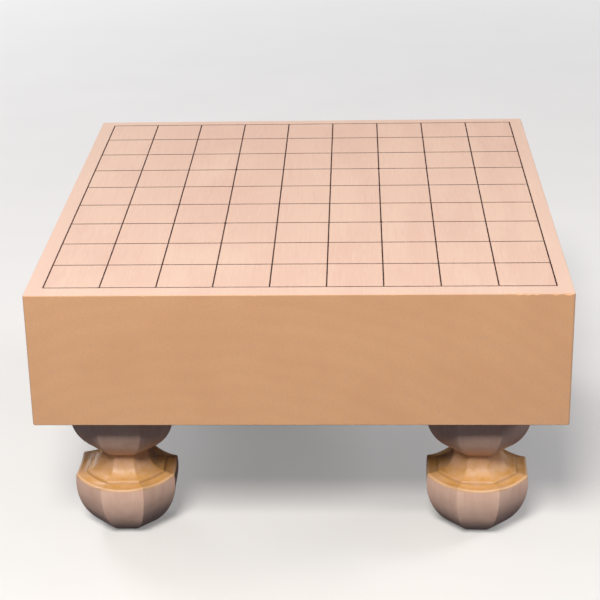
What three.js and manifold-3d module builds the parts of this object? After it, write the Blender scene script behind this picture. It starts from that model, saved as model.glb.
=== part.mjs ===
// Shogi board on four legs: one thick block of wood with a lacquered grid on its top, a square
// hollow with a blunt pyramid in its underside, and four eight-sided legs with scalloped crowns.
// Each leg is one piece with a round tenon that plugs into a mortise in the block.
// Millimetres, +Z up. The origin is on the floor under the middle of the block, the players sit
// at -Y and +Y, and the files run along Y.
import * as THREE from 'three';
import { mergeVertices } from 'three/addons/utils/BufferGeometryUtils.js';
import Module from 'manifold-3d';

const wasm = await Module();
wasm.setup();

// Block
const boardWidth = 333.7;
const boardDepth = 366.9;
const boardThickness = 87.7;
const boardEdgeRound = 0.8;
const boardCornerRound = 1.4;
const roundSteps = 3;

// Lacquered grid: its middle lies a little to the right of the block's and behind it
const gridShiftRight = 0.4;
const gridShiftBack = 1.35;
const squaresAcross = 9;
const squaresDeep = 9;
const squareWidth = 34.8;
const squareDepth = 38.25;
const fileLineWidth = 0.85;
const rankLineWidth = 0.5;
const lacquerThickness = 0.25;
const starDiameter = 2.2;
const starEverySquares = 3;

// Hollow in the underside, with its pyramid
const hollowMouth = 90;
const hollowFloor = 76;
const hollowDepth = 22;
const pyramidFoot = 56;
const pyramidTop = 30;
const pyramidHeight = 16;

// Legs: half widths are measured square to a flat side, heights follow one another downwards
const legInsetLeft = 50;
const legInsetRight = 52.3;
const legInsetEnds = 51.8;
const legSides = 8;
const shoulderToUpperBelly = 12;
const upperBellyToNeck = 28;
const neckToPlatform = 13.7;
const platformStep = 1;
const ridgeFall = 0.4;
const rimToBelly = 6;
const bellyToFoot = 34.2;
const upperBellyHalfWidth = 33.6;
const neckHalfWidth = 15.2;
const platformHalfWidth = 25;
const bellyHalfWidth = 33;
const footHalfWidth = 15;
const rimScallopDepth = 2.4;
const innerScallopDepth = 1;
const petalDish = 0.6;
const legTurnDegrees = { front_left: 1, front_right: -2, rear_left: 0, rear_right: 0 };

// Tenon on each leg and its mortise
const tenonDiameter = 30;
const tenonLength = 30;
const tenonChamfer = 1.5;
const mortiseClearance = 0.3;
const mortiseEndGap = 1.5;

// Facets
const upperBulbRings = 11;
const lowerBulbRings = 12;
const neckRings = 6;
const petalSteps = 6;
const roundStepsPerSide = 4;
const starArcSteps = 3;
const cutOverrun = 2;

// Heights that follow from the sizes above, as drops below the underside of the block
const neckDrop = shoulderToUpperBelly + upperBellyToNeck;
const platformDrop = neckDrop + neckToPlatform;
const ridgeTopDrop = platformDrop + platformStep;
const rimDrop = ridgeTopDrop + ridgeFall;
const bellyDrop = rimDrop + rimToBelly;
const legHeight = bellyDrop + bellyToFoot;
const tenonRadius = tenonDiameter / 2;
const boardTop = legHeight + boardThickness;

const woodOfBlock = new THREE.MeshStandardMaterial({ color: 0xe6c1a4, roughness: 0.5, metalness: 0 });
const woodOfLegs = new THREE.MeshStandardMaterial({ color: 0xcfae93, roughness: 0.6, metalness: 0 });
const lacquer = new THREE.MeshStandardMaterial({ color: 0x2c1c16, roughness: 0.3, metalness: 0 });

// Turns a closed three.js geometry into a solid that can be cut
function solidOf(geometry) {
  const bare = geometry.clone();
  bare.deleteAttribute('normal');
  bare.deleteAttribute('uv');
  const merged = mergeVertices(bare);
  return new wasm.Manifold(new wasm.Mesh({
    numProp: 3,
    vertProperties: new Float32Array(merged.attributes.position.array),
    triVerts: new Uint32Array(merged.index.array),
  }));
}

function indexedGeometry(positions, triangles) {
  const geometry = new THREE.BufferGeometry();
  geometry.setAttribute('position', new THREE.Float32BufferAttribute(positions, 3));
  geometry.setIndex(triangles);
  geometry.computeVertexNormals();
  return geometry;
}

function geometryOf(solid) {
  const cut = solid.getMesh();
  return indexedGeometry(Array.from(cut.vertProperties), Array.from(cut.triVerts));
}

// Square frustum standing on z = 0
function squareFrustum(lowerWidth, upperWidth, height) {
  const lowerRadius = lowerWidth / Math.SQRT2;
  const upperRadius = upperWidth / Math.SQRT2;
  const geometry = new THREE.CylinderGeometry(upperRadius, lowerRadius, height, 4, 1, false, Math.PI / 4);
  geometry.rotateX(Math.PI / 2);
  geometry.translate(0, 0, height / 2);
  return solidOf(geometry);
}

// Rectangle with round corners, centred on the origin
function roundedRectangle(width, depth, radius) {
  const x = width / 2 - radius;
  const y = depth / 2 - radius;
  const outline = new THREE.Shape();
  outline.absarc(x, y, radius, 0, Math.PI / 2);
  outline.absarc(-x, y, radius, Math.PI / 2, Math.PI);
  outline.absarc(-x, -y, radius, Math.PI, Math.PI * 3 / 2);
  outline.absarc(x, -y, radius, Math.PI * 3 / 2, Math.PI * 2);
  return outline;
}

// The block before it is cut: its top and bottom edges are rounded over
function blockBlank() {
  const geometry = new THREE.ExtrudeGeometry(roundedRectangle(boardWidth, boardDepth, boardCornerRound), {
    depth: boardThickness - 2 * boardEdgeRound,
    bevelThickness: boardEdgeRound,
    bevelSize: boardEdgeRound,
    bevelOffset: -boardEdgeRound,
    bevelSegments: roundSteps,
    curveSegments: roundSteps,
  });
  geometry.translate(0, 0, legHeight + boardEdgeRound);
  return solidOf(geometry);
}

// The ring of air between the walls of the hollow and its pyramid
function hollowCutter() {
  const wallSpread = (hollowMouth - hollowFloor) / hollowDepth;
  const pyramidSpread = (pyramidFoot - pyramidTop) / pyramidHeight;
  const air = squareFrustum(hollowMouth + wallSpread * cutOverrun, hollowFloor, hollowDepth + cutOverrun);
  const pyramid = squareFrustum(
    pyramidTop,
    pyramidFoot + pyramidSpread * cutOverrun,
    pyramidHeight + cutOverrun,
  );
  const airAtMouth = air.translate([0, 0, legHeight - cutOverrun]);
  return airAtMouth.subtract(pyramid.translate([0, 0, legHeight + hollowDepth - pyramidHeight]));
}

function mortiseCutter(place) {
  const radius = tenonRadius + mortiseClearance;
  const depth = tenonLength + mortiseEndGap + cutOverrun;
  const geometry = new THREE.CylinderGeometry(radius, radius, depth, legSides * roundStepsPerSide);
  geometry.rotateX(Math.PI / 2);
  geometry.translate(place.x, place.y, legHeight - cutOverrun + depth / 2);
  return solidOf(geometry);
}

function boardSlab(legPlaces) {
  let block = blockBlank().subtract(hollowCutter());
  for (const place of legPlaces) {
    block = block.subtract(mortiseCutter(place));
  }
  return geometryOf(block);
}

// Star dots sit where every third file crosses every third rank, but not on the outer lines
function isStar(file, rank) {
  const fileCounts = file % starEverySquares === 0 && file > 0 && file < squaresAcross;
  const rankCounts = rank % starEverySquares === 0 && rank > 0 && rank < squaresDeep;
  return fileCounts && rankCounts;
}

// Corner of a crossing, from the edge of the rank round to the edge of the file: one point where
// the lines cross plainly, an arc where a star dot covers them
function crossingCorner(starred) {
  if (!starred) return [new THREE.Vector2(fileLineWidth / 2, rankLineWidth / 2)];
  const dotRadius = starDiameter / 2;
  const atRank = Math.asin(rankLineWidth / 2 / dotRadius);
  const atFile = Math.acos(fileLineWidth / 2 / dotRadius);
  const points = [];
  for (let step = 0; step <= starArcSteps; step += 1) {
    const angle = THREE.MathUtils.lerp(atRank, atFile, step / starArcSteps);
    points.push(new THREE.Vector2(dotRadius * Math.cos(angle), dotRadius * Math.sin(angle)));
  }
  return points;
}

// Outline of the film where a file crosses a rank, anticlockwise, as one list of points for each
// of its four corners
function crossing(file, rank) {
  const x = (file - squaresAcross / 2) * squareWidth;
  const y = (rank - squaresDeep / 2) * squareDepth;
  const corner = crossingCorner(isStar(file, rank));
  const mirrors = [[1, 1], [-1, 1], [-1, -1], [1, -1]];
  return mirrors.map(([right, back]) => {
    const points = corner.map((point) => new THREE.Vector2(x + right * point.x, y + back * point.y));
    return right === back ? points : points.reverse();
  });
}

// A flat film made of pieces that share their edges: walls stand on the edges of one piece only
function film(pieces, thickness) {
  const numbers = new Map();
  const edges = new Set();
  for (const piece of pieces) {
    for (const point of piece) {
      if (!numbers.has(point)) numbers.set(point, numbers.size);
    }
    piece.forEach((point, index) => {
      edges.add(`${numbers.get(point)} ${numbers.get(piece[(index + 1) % piece.length])}`);
    });
  }
  const count = numbers.size;
  const positions = [];
  for (const height of [0, thickness]) {
    for (const point of numbers.keys()) positions.push(point.x, point.y, height);
  }
  const triangles = [];
  for (const piece of pieces) {
    const first = numbers.get(piece[0]);
    for (let index = 1; index + 1 < piece.length; index += 1) {
      const second = numbers.get(piece[index]);
      const third = numbers.get(piece[index + 1]);
      triangles.push(first, third, second);
      triangles.push(first + count, second + count, third + count);
    }
  }
  for (const edge of edges) {
    const [from, to] = edge.split(' ').map(Number);
    if (!edges.has(`${to} ${from}`)) {
      triangles.push(from, to, to + count);
      triangles.push(from, to + count, from + count);
    }
  }
  return indexedGeometry(positions, triangles);
}

// The film of lacquer: crossings joined by lengths of file and rank
function lacquerGrid() {
  const pieces = [];
  const crossings = [];
  for (let file = 0; file <= squaresAcross; file += 1) {
    crossings.push([]);
    for (let rank = 0; rank <= squaresDeep; rank += 1) {
      crossings[file].push(crossing(file, rank));
      pieces.push(crossings[file][rank].flat());
    }
  }
  for (let file = 0; file <= squaresAcross; file += 1) {
    for (let rank = 0; rank <= squaresDeep; rank += 1) {
      const here = crossings[file][rank];
      if (rank < squaresDeep) {
        const behind = crossings[file][rank + 1];
        pieces.push([here[1][0], here[0].at(-1), behind[3][0], behind[2].at(-1)]);
      }
      if (file < squaresAcross) {
        const beside = crossings[file + 1][rank];
        pieces.push([here[3].at(-1), beside[2][0], beside[1].at(-1), here[0][0]]);
      }
    }
  }
  return film(pieces, lacquerThickness);
}

// Semi-axis of an ellipse that narrows from belly to end over the given height
function bulbSpan(bellyWidth, endWidth, height) {
  return height / Math.sqrt(1 - (endWidth / bellyWidth) ** 2);
}

const upperSpan = bulbSpan(upperBellyHalfWidth, neckHalfWidth, upperBellyToNeck);
const lowerSpan = bulbSpan(bellyHalfWidth, footHalfWidth, bellyToFoot);

function lowerBulbHalfWidth(drop) {
  return bellyHalfWidth * Math.sqrt(1 - ((drop - bellyDrop) / lowerSpan) ** 2);
}

// A ring of points round the leg's axis. Each flat side is walked in the given number of steps,
// and halfWidthAt and dropAt give the place of the point a share of the way along the side.
function sidedRing(turn, steps, halfWidthAt, dropAt) {
  const points = [];
  for (let side = 0; side < legSides; side += 1) {
    const first = turn + (side - 0.5) * Math.PI * 2 / legSides;
    const second = first + Math.PI * 2 / legSides;
    for (let step = 0; step < steps; step += 1) {
      const share = step / steps;
      const cornerRadius = halfWidthAt(share) / Math.cos(Math.PI / legSides);
      const x = THREE.MathUtils.lerp(Math.cos(first), Math.cos(second), share);
      const y = THREE.MathUtils.lerp(Math.sin(first), Math.sin(second), share);
      points.push(new THREE.Vector3(cornerRadius * x, cornerRadius * y, -dropAt(share)));
    }
  }
  return { steps, points };
}

function plainRing(turn, halfWidth, drop) {
  return sidedRing(turn, 1, () => halfWidth, () => drop);
}

function roundRing(turn, radius, rise) {
  const points = [];
  const count = legSides * roundStepsPerSide;
  for (let index = 0; index < count; index += 1) {
    const angle = turn + (index / roundStepsPerSide - 0.5) * Math.PI * 2 / legSides;
    points.push(new THREE.Vector3(radius * Math.cos(angle), radius * Math.sin(angle), rise));
  }
  return { steps: roundStepsPerSide, points };
}

// Lower bulb, from the flat foot up to just under the scallops of the rim
function lowerBulbRingsOf(turn) {
  const rings = [];
  const footAngle = Math.asin(bellyToFoot / lowerSpan);
  const scallopFloor = rimDrop + 2 * rimScallopDepth;
  const topAngle = Math.asin((scallopFloor - bellyDrop) / lowerSpan);
  for (let index = 0; index < lowerBulbRings; index += 1) {
    const share = index / (lowerBulbRings - 1);
    const angle = THREE.MathUtils.lerp(footAngle, topAngle, share);
    const drop = bellyDrop + lowerSpan * Math.sin(angle);
    rings.push(plainRing(turn, bellyHalfWidth * Math.cos(angle), drop));
  }
  return rings;
}

// Crown: eight petals that are scooped out between ridges running in from the corners of the rim
function crownRingsOf(turn) {
  const bow = (share) => 1 - (2 * share - 1) ** 2;
  const rimCornerHalfWidth = lowerBulbHalfWidth(rimDrop);
  const rimDropAt = (share) => rimDrop + rimScallopDepth * bow(share);
  const rimHalfWidthAt = (share) => lowerBulbHalfWidth(rimDropAt(share));
  const innerDropAt = (share) => ridgeTopDrop + innerScallopDepth * bow(share);
  const innerHalfWidth = platformHalfWidth + platformStep;
  const middleHalfWidth = (innerHalfWidth + rimCornerHalfWidth) / 2;
  const middleDropAt = (share) => (rimDropAt(share) + innerDropAt(share)) / 2 + petalDish * bow(share);
  return [
    sidedRing(turn, petalSteps, rimHalfWidthAt, rimDropAt),
    sidedRing(turn, petalSteps, () => middleHalfWidth, middleDropAt),
    sidedRing(turn, petalSteps, () => innerHalfWidth, innerDropAt),
  ];
}

// Neck: a quarter of an ellipse, level at the edge of the platform and upright at the upper bulb
function neckRingsOf(turn) {
  const rings = [];
  for (let index = 0; index < neckRings; index += 1) {
    const angle = index / neckRings * Math.PI / 2;
    const halfWidth = THREE.MathUtils.lerp(platformHalfWidth, neckHalfWidth, Math.sin(angle));
    rings.push(plainRing(turn, halfWidth, neckDrop + neckToPlatform * Math.cos(angle)));
  }
  return rings;
}

// Upper bulb, from the neck up to the shoulder that meets the block
function upperBulbRingsOf(turn) {
  const rings = [];
  const neckAngle = Math.asin(upperBellyToNeck / upperSpan);
  const shoulderAngle = -Math.asin(shoulderToUpperBelly / upperSpan);
  for (let index = 0; index < upperBulbRings; index += 1) {
    const share = index / (upperBulbRings - 1);
    const angle = THREE.MathUtils.lerp(neckAngle, shoulderAngle, share);
    const drop = index === upperBulbRings - 1 ? 0 : shoulderToUpperBelly + upperSpan * Math.sin(angle);
    rings.push(plainRing(turn, upperBellyHalfWidth * Math.cos(angle), drop));
  }
  return rings;
}

function tenonRingsOf(turn) {
  return [
    roundRing(turn, tenonRadius, 0),
    roundRing(turn, tenonRadius, tenonLength - tenonChamfer),
    roundRing(turn, tenonRadius - tenonChamfer, tenonLength),
  ];
}

// Triangles between two rings, side by side round the leg. Where one ring has more points along a
// side than the other, the extra ones fan out from the nearer point.
function stitch(lower, upper, lowerStart, upperStart, triangles) {
  const lowerCount = lower.points.length;
  const upperCount = upper.points.length;
  for (let side = 0; side < legSides; side += 1) {
    let low = 0;
    let high = 0;
    while (low < lower.steps || high < upper.steps) {
      const lowPoint = lowerStart + (side * lower.steps + low) % lowerCount;
      const highPoint = upperStart + (side * upper.steps + high) % upperCount;
      const lowIsNext = (low + 1) * upper.steps <= (high + 1) * lower.steps;
      if (high === upper.steps || (low < lower.steps && lowIsNext)) {
        low += 1;
        triangles.push(lowPoint, lowerStart + (side * lower.steps + low) % lowerCount, highPoint);
      } else {
        high += 1;
        triangles.push(lowPoint, upperStart + (side * upper.steps + high) % upperCount, highPoint);
      }
    }
  }
}

// One closed skin through all the rings, from the foot to the end of the tenon
function loft(rings) {
  const positions = [];
  const triangles = [];
  const starts = [];
  for (const ring of rings) {
    starts.push(positions.length / 3);
    for (const point of ring.points) {
      positions.push(point.x, point.y, point.z);
    }
  }
  for (let index = 0; index + 1 < rings.length; index += 1) {
    stitch(rings[index], rings[index + 1], starts[index], starts[index + 1], triangles);
  }
  const foot = rings[0].points;
  const tip = rings[rings.length - 1].points;
  const tipStart = starts[rings.length - 1];
  for (let index = 1; index + 1 < foot.length; index += 1) {
    triangles.push(0, index + 1, index);
  }
  for (let index = 1; index + 1 < tip.length; index += 1) {
    triangles.push(tipStart, tipStart + index, tipStart + index + 1);
  }
  return indexedGeometry(positions, triangles);
}

function legGeometry(turnDegrees) {
  const turn = THREE.MathUtils.degToRad(turnDegrees);
  return loft([
    ...lowerBulbRingsOf(turn),
    ...crownRingsOf(turn),
    ...neckRingsOf(turn),
    ...upperBulbRingsOf(turn),
    ...tenonRingsOf(turn),
  ]);
}

// The mortises are set in from the sides by hand, so the left and right insets differ a little
function legPlacesOf() {
  const left = legInsetLeft - boardWidth / 2;
  const right = boardWidth / 2 - legInsetRight;
  const rear = boardDepth / 2 - legInsetEnds;
  return [
    { name: 'front_left', x: left, y: -rear },
    { name: 'front_right', x: right, y: -rear },
    { name: 'rear_left', x: left, y: rear },
    { name: 'rear_right', x: right, y: rear },
  ];
}

function named(name, geometry, material) {
  const mesh = new THREE.Mesh(geometry, material);
  mesh.name = name;
  return mesh;
}

function shogiBoard() {
  const board = new THREE.Group();
  const legPlaces = legPlacesOf();
  board.add(named('board_slab', boardSlab(legPlaces), woodOfBlock));
  const grid = named('lacquer_grid', lacquerGrid(), lacquer);
  grid.position.set(gridShiftRight, gridShiftBack, boardTop);
  board.add(grid);
  for (const place of legPlaces) {
    const leg = named(`leg_${place.name}`, legGeometry(legTurnDegrees[place.name]), woodOfLegs);
    leg.position.set(place.x, place.y, legHeight);
    board.add(leg);
  }
  return board;
}

export default shogiBoard();
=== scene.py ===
"""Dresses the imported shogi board: its block, its lacquered grid and its four carved legs.

Sizes in the dataclasses are millimetres, and those of the floor and the studio are metres.
Millimetres turn to metres where a mesh or a pattern is made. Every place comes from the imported
frame.
"""
import logging
import math
from collections.abc import Callable, Iterable, Iterator, Mapping
from contextlib import contextmanager
from dataclasses import dataclass, field
from enum import Enum
from functools import cached_property

import bmesh
import bpy
from mathutils import Matrix, Vector


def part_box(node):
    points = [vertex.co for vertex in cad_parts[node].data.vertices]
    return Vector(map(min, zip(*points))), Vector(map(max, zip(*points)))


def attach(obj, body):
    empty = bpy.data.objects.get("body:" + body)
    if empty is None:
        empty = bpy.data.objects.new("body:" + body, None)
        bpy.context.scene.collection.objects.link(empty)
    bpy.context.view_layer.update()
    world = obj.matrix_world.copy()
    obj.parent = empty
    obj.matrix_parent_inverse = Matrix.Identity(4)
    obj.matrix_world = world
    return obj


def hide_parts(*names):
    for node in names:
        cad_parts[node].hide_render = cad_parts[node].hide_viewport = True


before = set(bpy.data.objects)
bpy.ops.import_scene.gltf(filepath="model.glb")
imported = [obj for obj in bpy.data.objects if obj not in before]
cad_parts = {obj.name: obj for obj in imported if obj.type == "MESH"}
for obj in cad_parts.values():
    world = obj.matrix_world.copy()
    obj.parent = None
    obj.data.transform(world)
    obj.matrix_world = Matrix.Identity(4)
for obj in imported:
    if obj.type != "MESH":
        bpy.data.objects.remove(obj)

MM = 0.001
TOUCH = MM / 100  # places that are nearer to each other than this count as the same
NOISE_LOW, NOISE_HIGH = 0.3, 0.7  # noise seldom leaves this stretch
HALF_RING = 0.5  # a growth ring is a wave that goes up for half its width and down again
UPRIGHT_BELOW = 0.5  # a face whose normal rises by less than this stands upright
ALIKE_DIGITS = 6  # moves that agree to this many digits are made together
# A leg's points carry its stain, a painted highlight along the rims and painted shade in the
# creases at the platform's foot.
PAINTS = ("stain", "painted_highlight", "painted_crease_shade")  # what is painted on the points of a leg
LOG = logging.getLogger("shogi_board")

Box = tuple[Vector, Vector]
Socket = bpy.types.NodeSocket
Outputs = bpy.types.bpy_prop_collection


class Element(Enum):
    """The kinds of element that are selected in edit mode."""

    VERTEX = "VERT"
    EDGE = "EDGE"
    FACE = "FACE"


class Overlap(Enum):
    """What becomes of a piece where another one overlaps it."""

    CUT_AWAY = "DIFFERENCE"
    JOINED = "UNION"


class Grain(Enum):
    """The axis that the fibres of a piece of wood run along."""

    ALONG_FILES = 1
    UPRIGHT = 2


def linear(code: str) -> tuple[float, ...]:
    """Turns an sRGB hex colour to the linear colour that shaders read.

    Args:
        code: A hash and six hex digits.

    Returns:
        Linear red, green and blue, and an alpha of one.
    """
    channels = [int(code[start:start + 2], 16) / 255 for start in (1, 3, 5)]
    return (*[c / 12.92 if c <= 0.04045 else ((c + 0.055) / 1.055) ** 2.4 for c in channels], 1.0)


@dataclass(frozen=True)
class Tint:
    """A colour that a pattern brings out over what lies under it.

    Its share goes softly from least, where the pattern is at low, to most, where it is at high.
    A mask is a second pattern, which the share is multiplied by.
    """

    pattern: str
    colour: str | Socket
    low: float = 0.0
    high: float = 1.0
    most: float = 1.0
    least: float = 0.0
    mask: str | None = None


@dataclass(frozen=True)
class Gloss:
    """How a finish shines: a roughness that varies by a spread, and a thin clear coat over it."""

    roughness: float
    spread: float
    ior: float
    coat: float
    coat_roughness: float


class Shading:
    """The nodes of a material or of the world, from an empty tree, and its named patterns."""

    def __init__(self, holder: bpy.types.Material | bpy.types.World) -> None:
        """Empties the tree.

        Args:
            holder: The new material or world.
        """
        holder.use_nodes = True
        self.tree = holder.node_tree
        self.tree.nodes.clear()
        self.patterns: dict[str, Socket] = {}

    @cached_property
    def coordinates(self) -> Outputs:
        """The piece's own coordinates: Object for places, Normal for the way a surface faces."""
        return self.add("TexCoord")

    def add(self, kind: str, settings: Mapping[str, object] | None = None,
            inputs: Mapping[str | int, object] | None = None) -> Outputs:
        """Adds one node with its settings, its values and its links.

        Args:
            kind: The node's type, without ShaderNode in front.
            settings: Properties of the node itself.
            inputs: For each input, a value, a hex colour or the output that feeds it.

        Returns:
            The node's outputs.
        """
        node = self.tree.nodes.new(f"ShaderNode{kind}")
        for name, value in (settings or {}).items():
            setattr(node, name, value)
        for name, value in (inputs or {}).items():
            if isinstance(value, Socket):
                self.tree.links.new(value, node.inputs[name])
            else:
                node.inputs[name].default_value = linear(value) if isinstance(value, str) else value
        return node.outputs

    def laid_over(self, ground: str | Socket, tints: Iterable[Tint]) -> Socket:
        """Lays tints over a ground colour, one after the other.

        Args:
            ground: The colour under them all.
            tints: The tints, lowest first.

        Returns:
            The mixed colour.
        """
        for tint in tints:
            share = self.add("MapRange", {"interpolation_type": "SMOOTHSTEP"}, {
                "Value": self.patterns[tint.pattern], "From Min": tint.low, "From Max": tint.high,
                "To Min": tint.least, "To Max": tint.most})["Result"]
            if tint.mask is not None:
                share = self.add("Math", {"operation": "MULTIPLY"}, {
                    0: self.patterns[tint.mask], 1: share})[0]
            ground = self.add("Mix", {"data_type": "RGBA"}, {
                "Factor": share, 6: ground, 7: tint.colour})[2]
        return ground

    def finish(self, colour: Socket, gloss: Gloss, dulled_by: str,
               reliefs: Mapping[str, float]) -> None:
        """Joins colour, gloss and relief to the surface.

        Args:
            colour: The surface's colour.
            gloss: How it shines.
            dulled_by: The pattern that it is rougher with.
            reliefs: How many millimetres each pattern stands up, finest pattern first.
        """
        roughness = self.add("MapRange", inputs={
            "Value": self.patterns[dulled_by], "From Min": NOISE_LOW, "From Max": NOISE_HIGH,
            "To Min": gloss.roughness - gloss.spread / 2,
            "To Max": gloss.roughness + gloss.spread / 2})
        normal: dict[str, Socket] = {}
        for pattern, height in reliefs.items():
            normal = {"Normal": self.add("Bump", inputs={
                "Height": self.patterns[pattern], "Distance": height * MM, "Strength": 1.0,
                **normal})["Normal"]}
        shader = self.add("BsdfPrincipled", inputs={
            "Base Color": colour, "Roughness": roughness["Result"], "IOR": gloss.ior,
            "Coat Weight": gloss.coat, "Coat Roughness": gloss.coat_roughness, **normal})
        self.add("OutputMaterial", inputs={"Surface": shader["BSDF"]})


def deselect_everything() -> None:
    """Deselects every object, so that an operator acts on the next primitive alone."""
    bpy.ops.object.select_all(action="DESELECT")


class Workpiece:
    """One mesh in the making: a primitive that operators shape in edit mode."""

    def __init__(self, name: str) -> None:
        """Takes over the primitive that was just added.

        Args:
            name: The name that the piece keeps.
        """
        self.object = bpy.context.object
        self.object.name = name
        self.object.data.name = name
        bpy.ops.object.transform_apply(location=True, rotation=True, scale=True)

    @contextmanager
    def editing(self) -> Iterator[None]:
        """Enters edit mode for the length of a with block."""
        bpy.ops.object.mode_set(mode="EDIT")
        yield
        bpy.ops.object.mode_set(mode="OBJECT")

    def select(self, element: Element, test: Callable[[object], bool]) -> None:
        """Selects the elements that pass a test, and nothing else.

        Args:
            element: What to look at: vertices, edges or faces.
            test: Says whether one element is wanted.
        """
        bpy.ops.mesh.select_mode(type=element.value)
        bpy.ops.mesh.select_all(action="DESELECT")
        mesh = bmesh.from_edit_mesh(self.object.data)
        kinds = {Element.VERTEX: mesh.verts, Element.EDGE: mesh.edges, Element.FACE: mesh.faces}
        for item in [item for item in kinds[element] if test(item)]:
            item.select_set(True)
        mesh.select_flush_mode()
        bmesh.update_edit_mesh(self.object.data)

    def modify(self, kind: str, **settings: object) -> None:
        """Adds a modifier and applies it.

        Args:
            kind: The modifier's type.
            **settings: Its properties.
        """
        modifier = self.object.modifiers.new(kind.lower(), kind)
        for name, value in settings.items():
            setattr(modifier, name, value)
        bpy.context.view_layer.objects.active = self.object
        bpy.ops.object.modifier_apply(modifier=modifier.name)

    def combine(self, other: "Workpiece", overlap: Overlap = Overlap.CUT_AWAY) -> None:
        """Cuts the piece with another, or joins the other to it, and removes the other.

        Args:
            other: The other piece.
            overlap: What becomes of the overlap.
        """
        self.modify("BOOLEAN", operation=overlap.value, object=other.object, solver="EXACT")
        bpy.data.objects.remove(other.object, do_unlink=True)

    def dent(self, name: str, size: float, depth: float, test: Callable[[Vector], bool]) -> None:
        """Sinks the vertices whose place passes a test into the piece, unevenly.

        Args:
            name: The name of their group and of the noise.
            size: The size of the noise's blotches.
            depth: How deep it goes.
            test: Says whether a place is sunk.
        """
        noise = bpy.data.textures.new(name, type="CLOUDS")
        noise.noise_scale = size * MM
        wanted = [vertex.index for vertex in self.object.data.vertices if test(vertex.co)]
        self.object.vertex_groups.new(name=name).add(wanted, 1.0, "REPLACE")
        self.modify("DISPLACE", texture=noise, texture_coords="LOCAL", vertex_group=name,
                    mid_level=1.0, strength=depth * MM)

    def smooth(self, degrees: float) -> None:
        """Shades the piece smooth up to an angle, led by its larger faces.

        Args:
            degrees: The angle from which an edge stays sharp.
        """
        deselect_everything()
        self.object.select_set(True)
        bpy.context.view_layer.objects.active = self.object
        bpy.ops.object.shade_smooth_by_angle(angle=math.radians(degrees))
        self.modify("WEIGHTED_NORMAL", keep_sharp=True, weight=100)


@dataclass(frozen=True)
class Figure:
    """One figure in the wood: how wide and long its blotches are, and how finely they break up."""

    width: float
    length: float
    layers: float


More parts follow.
